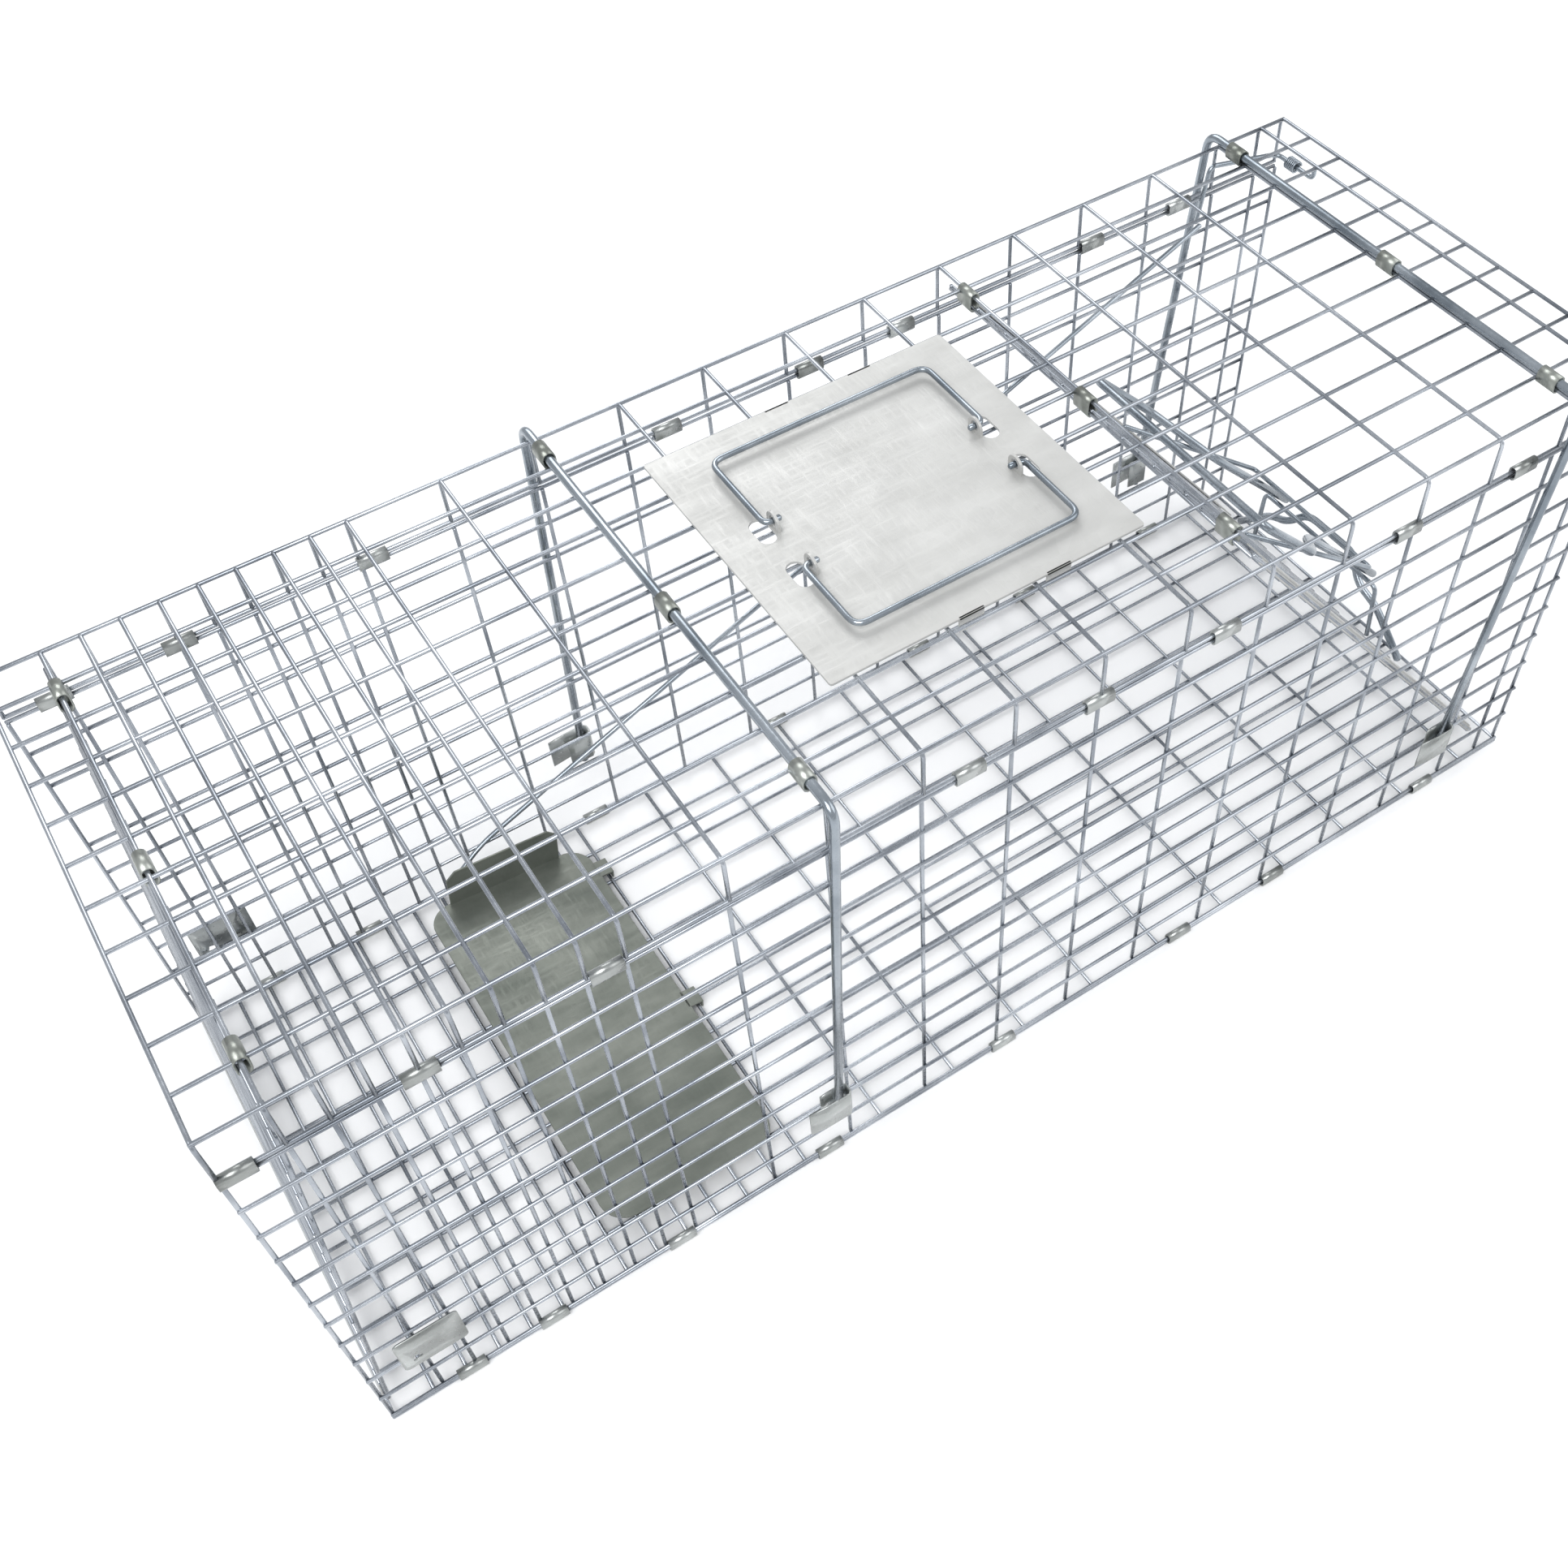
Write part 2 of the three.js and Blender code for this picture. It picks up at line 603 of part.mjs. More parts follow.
// A flat treadle with rounded corners, a turned-up far edge and two tongues over its hinge wire.
function tripPan() {
  const { x0, x1, halfWidth, corner } = PAN;
  const outline = new THREE.Shape();
  outline.moveTo(x0 + corner, -halfWidth);
  outline.lineTo(x1 - corner, -halfWidth);
  outline.quadraticCurveTo(x1, -halfWidth, x1, -halfWidth + corner);
  outline.lineTo(x1, halfWidth - corner);
  outline.quadraticCurveTo(x1, halfWidth, x1 - corner, halfWidth);
  outline.lineTo(x0 + corner, halfWidth);
  outline.quadraticCurveTo(x0, halfWidth, x0, halfWidth - corner);
  outline.lineTo(x0, -halfWidth + corner);
  outline.quadraticCurveTo(x0, -halfWidth, x0 + corner, -halfWidth);
  const sheet = slab(outline, PAN.thickness).translate(0, 0, PAN.z);
  const flange = block(
    x0 + corner,
    x1 - corner,
    halfWidth - PAN.thickness,
    halfWidth,
    PAN.z,
    PAN_FLANGE_TOP,
  );
  const pieces = [sheet, flange];
  for (const y of [-20, 92]) {
    pieces.push(block(x1 - 2, PAN_HINGE_X + 3, y, y + 12, PAN.z, PAN.z + PAN.thickness));
    pieces.push(block(PAN_HINGE_X + 1.9, PAN_HINGE_X + 3, y, y + 12, 1.6, PAN.z + 0.5));
  }
  const hingeZ = FLOOR_Z + WIRE / 2;
  return join(...pieces)
    .translate(-PAN_HINGE_X, 0, -hingeZ)
    .rotateY(PAN_TILT)
    .translate(PAN_HINGE_X, 0, hingeZ);
}

// ---------------------------------------------------------------------------------------------
// The whole trap.

const trap = new THREE.Group();

addPanels();
addPanelClips();
addHoops();
addCarryPlate();
addFrontDoor();
addLock();
addRearDoor();
addTrigger();

export default trap;
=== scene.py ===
import math

import bmesh
import bpy
from mathutils import Matrix, Vector


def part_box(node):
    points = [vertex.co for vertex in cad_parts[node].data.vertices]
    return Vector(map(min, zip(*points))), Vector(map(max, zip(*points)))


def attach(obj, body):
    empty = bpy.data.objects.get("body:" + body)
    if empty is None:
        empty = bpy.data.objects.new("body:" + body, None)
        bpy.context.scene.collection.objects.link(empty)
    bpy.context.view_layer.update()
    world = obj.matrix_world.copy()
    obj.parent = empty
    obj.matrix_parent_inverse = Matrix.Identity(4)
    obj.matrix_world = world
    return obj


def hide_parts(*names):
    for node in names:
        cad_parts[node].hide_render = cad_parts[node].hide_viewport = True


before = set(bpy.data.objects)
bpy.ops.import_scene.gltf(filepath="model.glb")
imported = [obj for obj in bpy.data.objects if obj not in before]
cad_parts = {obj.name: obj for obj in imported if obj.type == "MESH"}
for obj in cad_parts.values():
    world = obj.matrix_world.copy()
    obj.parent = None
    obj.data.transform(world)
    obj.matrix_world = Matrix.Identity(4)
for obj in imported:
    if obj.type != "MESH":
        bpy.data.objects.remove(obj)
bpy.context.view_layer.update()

# Driving sizes, in metres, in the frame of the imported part.
CELL = 0.0254
ROWS = 12
HALF_WIDTH = CELL * (ROWS - 1) / 2
HALF_LENGTH = 0.389
WIRE = 0.0011
ROOF_Z = 0.3114
CROSS_Z = 0.3128
SIDE_LOW = 0.0050
SIDE_ROW = 0.0249
SIDE_TOP = SIDE_LOW + SIDE_ROW * (ROWS - 1)
SKIRT_Z = SIDE_TOP + 0.0034
DOOR_HINGE = Vector((0.1385, 0.0, 0.306))
DOOR_SLOPE = math.radians(51.2)
DOOR_LENGTH = 0.385
DOOR_HALF = 0.126
LOCK_FOLD = math.radians(47.2)
REAR_HINGE = Vector((-0.361, 0.0, 0.306))
REAR_LEAN = math.radians(5.0)
REAR_LENGTH = 0.295
REAR_HALF = 0.133
PAN_HINGE = Vector((-0.142, 0.0, 0.0023))
PAN_TILT = math.radians(6.0)
HOOP_Z = 0.3161
HOOP_Y = 0.147
HOOP_FOOT_Z = 0.050
ROD = 0.0025
THIN_ROD = 0.0015
BAIL_ROD = 0.0016
CROSSING = 0.0013
BAND_LENGTH = 0.012
BAND_SHEET = 0.0008

# Carry plate and bails.
PLATE_BASE = 0.3135
PLATE_TOP = 0.3150
PLATE_TAB_X = (-0.005, 0.045)
PLATE_TAB_WIDTH = 0.014
PLATE_TAB_Z = 0.3055
BAIL_Z = 0.3192
BAIL_LOW = -0.0485
BAIL_HIGH = 0.079
BAIL_PIN = 0.009
PIVOT_Y = {"near": -0.021, "far": 0.013}
REACH_Y = {"near": -0.067, "far": 0.065}

# Lock frame and link, in the raised position.
LOCK_FOOT = (0.3508, 0.041, 0.0965)
LOCK_WAIST = (0.3554, 0.041, 0.201)
LOCK_ELBOW = (0.3573, 0.073, 0.243)
LOCK_TOP = (0.3605, 0.074, 0.3062)
LINK_RATIO = 0.61
LINK_HALF = 0.054

# Camera: place, direction and roll in degrees, lens in millimetres.
CAMERA = Vector((-0.323, -0.529, 0.907))
AZIMUTH = -32.67
ELEVATION = 52.05
ROLL = -1.461
LENS = 40.29
SHIFT = (-0.0741, -0.0136)

ROOF_X = (
    [-0.389, -0.361]
    + [-0.3423 + 0.0187 * i for i in range(8)]
    + [-0.1615 + 0.05 * i for i in range(11)]
    + [0.3715, 0.389]
)
FLOOR_X = [-0.389] + [-0.3664 + 0.0187 * i for i in range(12)]
FLOOR_X += [-0.142 + 0.05 * i for i in range(11)] + [0.389]
ACROSS = [CELL * i - HALF_WIDTH for i in range(ROWS)]
SIDE_ROWS = [SIDE_LOW + SIDE_ROW * i for i in range(ROWS)]


# ---- Materials -------------------------------------------------------------------------------


def new_material(name, metallic):
    material = bpy.data.materials.new(name)
    material.use_nodes = True
    nodes = material.node_tree.nodes
    links = material.node_tree.links
    shader = nodes["Principled BSDF"]
    shader.inputs["Metallic"].default_value = metallic
    coords = nodes.new("ShaderNodeTexCoord")
    return material, nodes, links, shader, coords


def noise(nodes, links, coords, scale, detail, stretch=(1, 1, 1)):
    """Cloudy grey values fixed to the object, stretched along its axes."""
    mapping = nodes.new("ShaderNodeMapping")
    mapping.inputs["Scale"].default_value = stretch
    links.new(coords.outputs["Object"], mapping.inputs["Vector"])
    texture = nodes.new("ShaderNodeTexNoise")
    texture.inputs["Scale"].default_value = scale
    texture.inputs["Detail"].default_value = detail
    links.new(mapping.outputs["Vector"], texture.inputs["Vector"])
    return texture.outputs["Fac"]


def ramp(nodes, links, source, stops):
    node = nodes.new("ShaderNodeValToRGB")
    elements = node.color_ramp.elements
    while len(elements) < len(stops):
        elements.new(0.5)
    for element, (place, color) in zip(elements, stops):
        element.position = place
        element.color = (*color, 1.0)
    links.new(source, node.inputs["Fac"])
    return node.outputs["Color"]


def bump(nodes, links, shader, source, strength, distance):
    node = nodes.new("ShaderNodeBump")
    node.inputs["Strength"].default_value = strength
    node.inputs["Distance"].default_value = distance
    links.new(source, node.inputs["Height"])
    links.new(node.outputs["Normal"], shader.inputs["Normal"])


def zinc_wire(name, dark, light, low, high):
    """Bright zinc over drawn wire: cloudy patches and a slightly rough skin."""
    material, nodes, links, shader, coords = new_material(name, 0.92)
    clouds = noise(nodes, links, coords, 24.0, 5.0)
    mid = tuple((a + b) / 2 for a, b in zip(dark, light))
    color = ramp(nodes, links, clouds, [(0.32, dark), (0.5, mid), (0.68, light)])
    links.new(color, shader.inputs["Base Color"])
    grains = noise(nodes, links, coords, 420.0, 4.0)
    rough = ramp(nodes, links, grains, [(0.3, (low,) * 3), (0.7, (high,) * 3)])
    links.new(rough, shader.inputs["Roughness"])
    bump(nodes, links, shader, noise(nodes, links, coords, 520.0, 3.0), 0.07, 0.0003)
    return material


def zinc_sheet(name, dark, light, low, high, metallic, scratch):
    """Rolled zinc sheet: faint spangle cells, smudges, and fine lines rubbed both ways."""
    material, nodes, links, shader, coords = new_material(name, metallic)
    cells = nodes.new("ShaderNodeTexVoronoi")
    cells.inputs["Scale"].default_value = 95.0
    links.new(coords.outputs["Object"], cells.inputs["Vector"])
    spangle = ramp(
        nodes, links, cells.outputs["Color"], [(0.1, (0.93,) * 3), (0.9, (1.0,) * 3)]
    )
    clouds = noise(nodes, links, coords, 22.0, 6.0, (1, 2.2, 1))
    base = ramp(nodes, links, clouds, [(0.3, dark), (0.72, light)])
    mixed = nodes.new("ShaderNodeMix")
    mixed.data_type = "RGBA"
    mixed.blend_type = "MULTIPLY"
    mixed.inputs["Factor"].default_value = 0.6
    links.new(base, mixed.inputs["A"])
    links.new(spangle, mixed.inputs["B"])
    links.new(mixed.outputs["Result"], shader.inputs["Base Color"])
    rubbed = noise(nodes, links, coords, 90.0, 7.0, (0.5, 5.0, 1))
    crossed = noise(nodes, links, coords, 110.0, 7.0, (5.0, 0.7, 1))
    both = nodes.new("ShaderNodeMath")
    both.operation = "MINIMUM"
    links.new(rubbed, both.inputs[0])
    links.new(crossed, both.inputs[1])
    lines = both.outputs["Value"]
    rough = ramp(nodes, links, lines, [(0.35, (low,) * 3), (0.65, (high,) * 3)])
    links.new(rough, shader.inputs["Roughness"])
    bump(nodes, links, shader, lines, scratch, 0.0003)
    return material


LOOKS = {
    "mesh_zinc": zinc_wire("mesh_zinc", (0.20, 0.22, 0.25), (0.50, 0.53, 0.57), 0.18, 0.34),
    "rod_zinc": zinc_wire("rod_zinc", (0.17, 0.20, 0.23), (0.42, 0.46, 0.50), 0.16, 0.30),
    "dull_zinc": zinc_wire("dull_zinc", (0.16, 0.17, 0.15), (0.42, 0.44, 0.41), 0.28, 0.46),
    "clip_zinc": zinc_wire("clip_zinc", (0.22, 0.23, 0.22), (0.50, 0.52, 0.51), 0.24, 0.42),
    "sheet_zinc": zinc_sheet(
        "sheet_zinc", (0.46, 0.46, 0.445), (0.55, 0.55, 0.535), 0.42, 0.60, 0.35, 0.5
    ),
    "pan_steel": zinc_sheet(
        "pan_steel", (0.13, 0.145, 0.125), (0.24, 0.255, 0.225), 0.36, 0.56, 0.5, 0.3
    ),
}


# ---- Mesh building ---------------------------------------------------------------------------


def smooth_path(points, bend, arc=5):
    """The corners of a bent wire turned into short round arcs."""
    corners = [Vector(p) for p in points]
    path = [corners[0]]
    for before, corner, after in zip(corners, corners[1:], corners[2:]):
        a = before - corner
        b = after - corner
        reach = min(bend, a.length / 2.1, b.length / 2.1)
        enter = corner + a.normalized() * reach
        leave = corner + b.normalized() * reach
        for i in range(arc + 1):
            t = i / arc
            path.append(enter * (1 - t) ** 2 + corner * 2 * t * (1 - t) + leave * t * t)
    path.append(corners[-1])
    return path


def add_tube(mesh, path, radius, sides=10):
    """A round wire with slightly rounded cut ends, swept along the path into the mesh."""
    points = [Vector(p) for p in path]
    first = (points[1] - points[0]).normalized()
    last = (points[-1] - points[-2]).normalized()
    sections = [(points[0], 0.55), (points[0] + first * radius * 0.4, 1.0)]
    sections += [(p, 1.0) for p in points[1:-1]]
    sections += [(points[-1] - last * radius * 0.4, 1.0), (points[-1], 0.55)]
    side = first.orthogonal().normalized()
    rings = []
    for i, (point, scale) in enumerate(sections):
        ahead = sections[min(i + 1, len(sections) - 1)][0] - point
        behind = point - sections[max(i - 1, 0)][0]
        tangent = (ahead.normalized() + behind.normalized()).normalized()
        side = (side - tangent * side.dot(tangent)).normalized()
        other = tangent.cross(side)
        ring = []
        for k in range(sides):
            angle = 2 * math.pi * k / sides
            offset = side * math.cos(angle) + other * math.sin(angle)
            ring.append(mesh.verts.new(point + offset * radius * scale))
        rings.append(ring)
    for a, b in zip(rings, rings[1:]):
        for k in range(sides):
            n = (k + 1) % sides
            mesh.faces.new((a[k], a[n], b[n], b[k]))
    mesh.faces.new(list(reversed(rings[0])))
    mesh.faces.new(rings[-1])


def add_prism(mesh, outline, depth_axis, start, end):
    """A flat outline given as 3-D points, pushed from start to end along an axis."""
    axis = Vector(depth_axis)
    low = [mesh.verts.new(Vector(p) + axis * start) for p in outline]
    high = [mesh.verts.new(Vector(p) + axis * end) for p in outline]
    count = len(outline)
    mesh.faces.new(list(reversed(low)))
    mesh.faces.new(high)
    for i in range(count):
        j = (i + 1) % count
        mesh.faces.new((low[i], low[j], high[j], high[i]))


def piece(name, mesh, look, body, nodes=(), place=None, bevel=0.0):
    """The mesh as a named object that rides a body and stands for the given CAD nodes."""
    data = bpy.data.meshes.new(name)
    bmesh.ops.recalc_face_normals(mesh, faces=mesh.faces)
    if place is not None:
        bmesh.ops.transform(mesh, matrix=place, verts=mesh.verts)
    mesh.to_mesh(data)
    mesh.free()
    obj = bpy.data.objects.new(name, data)
    bpy.context.scene.collection.objects.link(obj)
    data.materials.append(LOOKS[look])
    for face in data.polygons:
        face.use_smooth = True
    if bevel:
        edge = obj.modifiers.new("edge", "BEVEL")
        edge.width = bevel
        edge.segments = 2
        edge.limit_method = "ANGLE"
        for face in data.polygons:
            face.use_smooth = False
    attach(obj, body)
    if nodes:
        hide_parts(*nodes)
    return obj


def mirrored(points):
    """The points, then their mirror images across the middle plane in reverse order."""
    return list(points) + [(x, -y, z) for x, y, z in reversed(points)]


def slab_points(x0, x1, y0, y1, corner, steps=6):
    """A rectangle with rounded corners in the XY plane."""
    outline = []
    centres = [(x1 - corner, y1 - corner), (x0 + corner, y1 - corner)]
    centres += [(x0 + corner, y0 + corner), (x1 - corner, y0 + corner)]
    for quarter, (cx, cy) in enumerate(centres):
        for i in range(steps + 1):
            angle = math.pi / 2 * (quarter + i / steps)
            outline.append((cx + corner * math.cos(angle), cy + corner * math.sin(angle), 0))
    return outline


# ---- Mesh panels -----------------------------------------------------------------------------


def floor_panel():
    mesh = bmesh.new()
    for y in ACROSS:
        add_tube(mesh, [(-HALF_LENGTH - WIRE, y, 0.0023), (HALF_LENGTH + WIRE, y, 0.0023)], WIRE)
    for x in FLOOR_X:
        add_tube(mesh, [(x, -HALF_WIDTH, 0.0038), (x, HALF_WIDTH, 0.0038)], WIRE)
    piece("floor_mesh", mesh, "mesh_zinc", "cage", ["floor_panel"])


def side_panel(side, sign):
    mesh = bmesh.new()
    y = sign * HALF_WIDTH
    for z in SIDE_ROWS:
        add_tube(mesh, [(-HALF_LENGTH - WIRE, y, z), (HALF_LENGTH + WIRE, y, z)], WIRE)
    for x in ROOF_X:
        add_tube(mesh, [(x, y - sign * 0.0016, SIDE_LOW), (x, y - sign * 0.0016, SIDE_TOP)], WIRE)
    piece(f"side_mesh_{side}", mesh, "mesh_zinc", "cage", [f"side_panel_{side}"])


def roof_panel():
    mesh = bmesh.new()
    for y in ACROSS[1:-1]:
        add_tube(mesh, [(-HALF_LENGTH - WIRE, y, ROOF_Z), (HALF_LENGTH + WIRE, y, ROOF_Z)], WIRE)
    for y in (-HALF_WIDTH, HALF_WIDTH):
        inner = y - math.copysign(0.0015, y)
        for z, across in ((ROOF_Z, inner), (SKIRT_Z, y)):
            ends = [(-HALF_LENGTH - WIRE, across, z), (HALF_LENGTH + WIRE, across, z)]
            add_tube(mesh, ends, WIRE)
    for x in ROOF_X:
        half = [(x, HALF_WIDTH, SKIRT_Z - 0.0006), (x, HALF_WIDTH, CROSS_Z - WIRE)]
        add_tube(mesh, smooth_path(mirrored(half), 0.004, 4), WIRE)
    piece("roof_mesh", mesh, "mesh_zinc", "cage", ["roof_panel", "roof_skirt_near", "roof_skirt_far"])


def add_band(mesh, centre, run, up, half_in, reach, length, sheet=BAND_SHEET):
    """A sheet strip rolled round two wires: a closed loop with round ends, pushed along run."""
    along = Vector(run)
    side = along.cross(Vector(up)).normalized()
    rise = Vector(up)
    inner, outer = [], []
    steps = 6
    for end in (1, -1):
        for i in range(steps + 1):
            angle = math.pi * i / steps + (0 if end == 1 else math.pi)
            direction = side * math.cos(angle) + rise * math.sin(angle)
            base = Vector(centre) + rise * (end * (reach - half_in))
            inner.append(base + direction * half_in)
            outer.append(base + direction * (half_in + sheet))
    count = len(inner)
    rings = []
    for offset in (-length / 2, length / 2):
        rings.append([mesh.verts.new(p + along * offset) for p in inner])
        rings.append([mesh.verts.new(p + along * offset) for p in outer])
    in_low, out_low, in_high, out_high = rings
    for i in range(count):
        j = (i + 1) % count
        mesh.faces.new((out_low[i], out_low[j], out_high[j], out_high[i]))
        mesh.faces.new((in_low[j], in_low[i], in_high[i], in_high[j]))
        mesh.faces.new((in_low[i], in_low[j], out_low[j], out_low[i]))
        mesh.faces.new((out_high[i], out_high[j], in_high[j], in_high[i]))


def panel_clips():
    """A band where each CAD clip is, and one more band in the gap beside it."""
    between = {"top": (-0.374, -0.213, 0.045, 0.240), "bottom": (-0.290, -0.213, 0.0, 0.205)}
    stagger = 0.008
    half_in = 0.0017
    for row, (low, high) in {
        "top": (SIDE_TOP - half_in, SKIRT_Z + half_in),
        "bottom": (0.0008, SIDE_LOW + half_in),
    }.items():
        for side, sign in (("near", -1), ("far", 1)):
            for index in range(1, 5):
                node = f"hinge_clip_{row}_{side}_{index}"
                corner_low, corner_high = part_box(node)
                middle = (corner_low + corner_high) / 2
                mesh = bmesh.new()
                places = [middle.x, between[row][index - 1] + stagger * sign]
                for x in places:
                    centre = (x, sign * HALF_WIDTH, (low + high) / 2)
                    add_band(mesh, centre, (1, 0, 0), (0, 0, 1), half_in, (high - low) / 2, 0.016)
                piece(f"panel_clip_{row}_{side}_{index}", mesh, "clip_zinc", "cage", [node])


# ---- Hoops -----------------------------------------------------------------------------------


def hoops():
    for end, x, lean in (("rear", -0.1115, -0.011), ("front", 0.3385, -0.026)):
        mesh = bmesh.new()
        half = [(x + lean, HOOP_Y, HOOP_FOOT_Z), (x, HOOP_Y, HOOP_Z)]
        add_tube(mesh, smooth_path(mirrored(half), 0.010, 7), ROD, 14)
        piece(f"{end}_hoop_rod", mesh, "rod_zinc", f"{end}_hoop", [f"{end}_hoop"])
        for index in range(1, 4):
            node = f"{end}_hoop_band_{index}"
            low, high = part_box(node)
            mesh = bmesh.new()
            middle = (low + high) / 2
            reach = (high.z - low.z) / 2 - BAND_SHEET
            add_band(mesh, middle, (0, 1, 0), (0, 0, 1), 0.0029, reach, BAND_LENGTH)
            piece(f"{end}_hoop_wrap_{index}", mesh, "dull_zinc", "cage", [node])
        for side, sign in (("near", -1), ("far", 1)):
            spring_clip(end, side, sign, x + lean + 0.001)


def spring_clip(end, side, sign, leg_x):
    """A folded strip round the hoop's foot, with a flared tongue."""
    inner = HOOP_Y - 0.0036
    outer = HOOP_Y + 0.0046
    web = leg_x + 0.006
    line = [
        (leg_x - 0.010, inner + 0.0004),
        (leg_x - 0.006, inner),
        (web - 0.002, inner),
        (web, inner + 0.002),
        (web, outer - 0.002),
        (web - 0.002, outer),
        (leg_x - 0.008, outer),
        (leg_x - 0.020, outer - 0.0012),
    ]
    mesh = bmesh.new()
    mesh_strip(mesh, line, sign, 0.054, 0.076)
    node = f"{end}_hoop_catch_{side}"
    piece(f"{end}_hoop_snap_{side}", mesh, "clip_zinc", "cage", [node])


def mesh_strip(mesh, line, sign, z0, z1, sheet=0.0009):
    """A thin strip that follows a plan line, with its thickness to the inside of the line."""
    points = [Vector((x, y)) for x, y in line]
    rings = []
    for i, point in enumerate(points):
        ahead = points[min(i + 1, len(points) - 1)] - points[max(i - 1, 0)]
        normal = Vector((-ahead.y, ahead.x)).normalized()
        shifted = point + normal * sheet
        ring = []
        for q, z in ((point, z0), (shifted, z0), (shifted, z1), (point, z1)):
            ring.append(mesh.verts.new((q.x, sign * q.y, z)))
        rings.append(ring)
    for a, b in zip(rings, rings[1:]):
        for k in range(4):
            n = (k + 1) % 4
            mesh.faces.new((a[k], a[n], b[n], b[k]))
    mesh.faces.new(rings[0])
    mesh.faces.new(rings[-1])


# ---- Carry plate and bails -------------------------------------------------------------------


def slot_prism(mesh, x, y, radius, half, low, high):
    """A solid with a round-ended slot's outline that runs along Y, from low to high."""
    outline = []
    for end in (1, -1):
        for i in range(9):
            angle = math.pi * i / 8 + (0 if end == 1 else math.pi)
            middle = y + end * (half - radius)
            outline.append((x + radius * math.cos(angle), middle + radius * math.sin(angle), 0))
    add_prism(mesh, outline, (0, 0, 1), low, high)


def carry_plate():
    low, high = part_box("carry_plate")
    sheet = bmesh.new()
    outline = slab_points(low.x, high.x, low.y, high.y, 0.0015, 3)
    add_prism(sheet, outline, (0, 0, 1), PLATE_BASE, PLATE_TOP)
    cutter = bmesh.new()
    for y in PIVOT_Y.values():
        for x in (BAIL_LOW - 0.0015, BAIL_HIGH + 0.0015):
            slot_prism(cutter, x, y, 0.0045, 0.009, PLATE_BASE - 0.003, PLATE_TOP + 0.003)
    mesh = pierced(sheet, cutter)
    for x0 in PLATE_TAB_X:
        x1 = x0 + PLATE_TAB_WIDTH
        for y, sign in ((low.y, 1), (high.y, -1)):
            tab = [(x0, y, PLATE_TAB_Z), (x1, y, PLATE_TAB_Z)]
            tab += [(x1, y, PLATE_TOP), (x0, y, PLATE_TOP)]
            add_prism(mesh, tab, (0, sign, 0), 0.0, 0.0012)
    for y in PIVOT_Y.values():
        for x in (BAIL_LOW + 0.004, BAIL_HIGH - 0.0055):
            lug(mesh, x, y)
    piece("carry_plate_sheet", mesh, "sheet_zinc", "cage", ["carry_plate"], bevel=0.0002)

    for side in ("near", "far"):
        mesh = bmesh.new()
        pivot, reach = PIVOT_Y[side], REACH_Y[side]
        line = [
            (BAIL_LOW + BAIL_PIN, pivot, BAIL_Z),
            (BAIL_LOW, pivot, BAIL_Z),
            (BAIL_LOW, reach, BAIL_Z),
            (BAIL_HIGH, reach, BAIL_Z),
            (BAIL_HIGH, pivot, BAIL_Z),
            (BAIL_HIGH - BAIL_PIN, pivot, BAIL_Z),
        ]
        add_tube(mesh, smooth_path(line, 0.007, 6), BAIL_ROD, 14)
        node = f"carry_bail_{side}"
        piece(f"carry_bail_rod_{side}", mesh, "rod_zinc", node, [node])


def pierced(body, cutter):
    """The first mesh with the second cut out of it."""
    made = []
    for label, mesh in (("body", body), ("cutter", cutter)):
        bmesh.ops.recalc_face_normals(mesh, faces=mesh.faces)
        data = bpy.data.meshes.new(label)
        mesh.to_mesh(data)
        mesh.free()
        obj = bpy.data.objects.new(label, data)
        bpy.context.scene.collection.objects.link(obj)
        made.append(obj)
    cut = made[0].modifiers.new("cut", "BOOLEAN")
    cut.operation = "DIFFERENCE"
    cut.solver = "EXACT"
    cut.object = made[1]
    graph = bpy.context.evaluated_depsgraph_get()
    result = bmesh.new()
    result.from_mesh(made[0].evaluated_get(graph).to_mesh())
    for obj in made:
        bpy.data.objects.remove(obj)
    return result


def lug(mesh, x, y):
    """A round-topped ear turned up from the plate, with a hole for the bail's end."""
    steps = 10
    outer = [(y - 0.0055, PLATE_TOP - 0.001)]
    for i in range(steps + 1):
        angle = math.pi - math.pi * i / steps
        outer.append((y + 0.0055 * math.cos(angle), BAIL_Z - 0.0005 + 0.0052 * math.sin(angle)))
    outer.append((y + 0.0055, PLATE_TOP - 0.001))
    hole = []
    for i in range(len(outer)):
        angle = math.radians(225) - math.radians(270) * i / (len(outer) - 1)
        hole.append((y + 0.0028 * math.cos(angle), BAIL_Z + 0.0028 * math.sin(angle)))
    front, back = [], []
    for offset, store in ((0.0, front), (0.0015, back)):
        for loop in (outer, hole):
            store.append([mesh.verts.new((x + offset, a, b)) for a, b in loop])
    count = len(outer)
    for i in range(count):
        j = (i + 1) % count
        mesh.faces.new((front[0][i], front[0][j], front[1][j], front[1][i]))
        mesh.faces.new((back[0][j], back[0][i], back[1][i], back[1][j]))
        mesh.faces.new((front[0][j], front[0][i], back[0][i], back[0][j]))
        mesh.faces.new((front[1][i], front[1][j], back[1][j], back[1][i]))


# ---- Front door and lock ---------------------------------------------------------------------


def on_door(along, out, y):
    """A point given down the door from its hinge, out from it, and across."""
    cos, sin = math.cos(DOOR_SLOPE), math.sin(DOOR_SLOPE)
    return (
        DOOR_HINGE.x + along * cos + out * sin,
        y,
        DOOR_HINGE.z - along * sin + out * cos,
    )


def door_matrix():
    return Matrix.Translation(DOOR_HINGE) @ Matrix.Rotation(DOOR_SLOPE, 4, "Y")


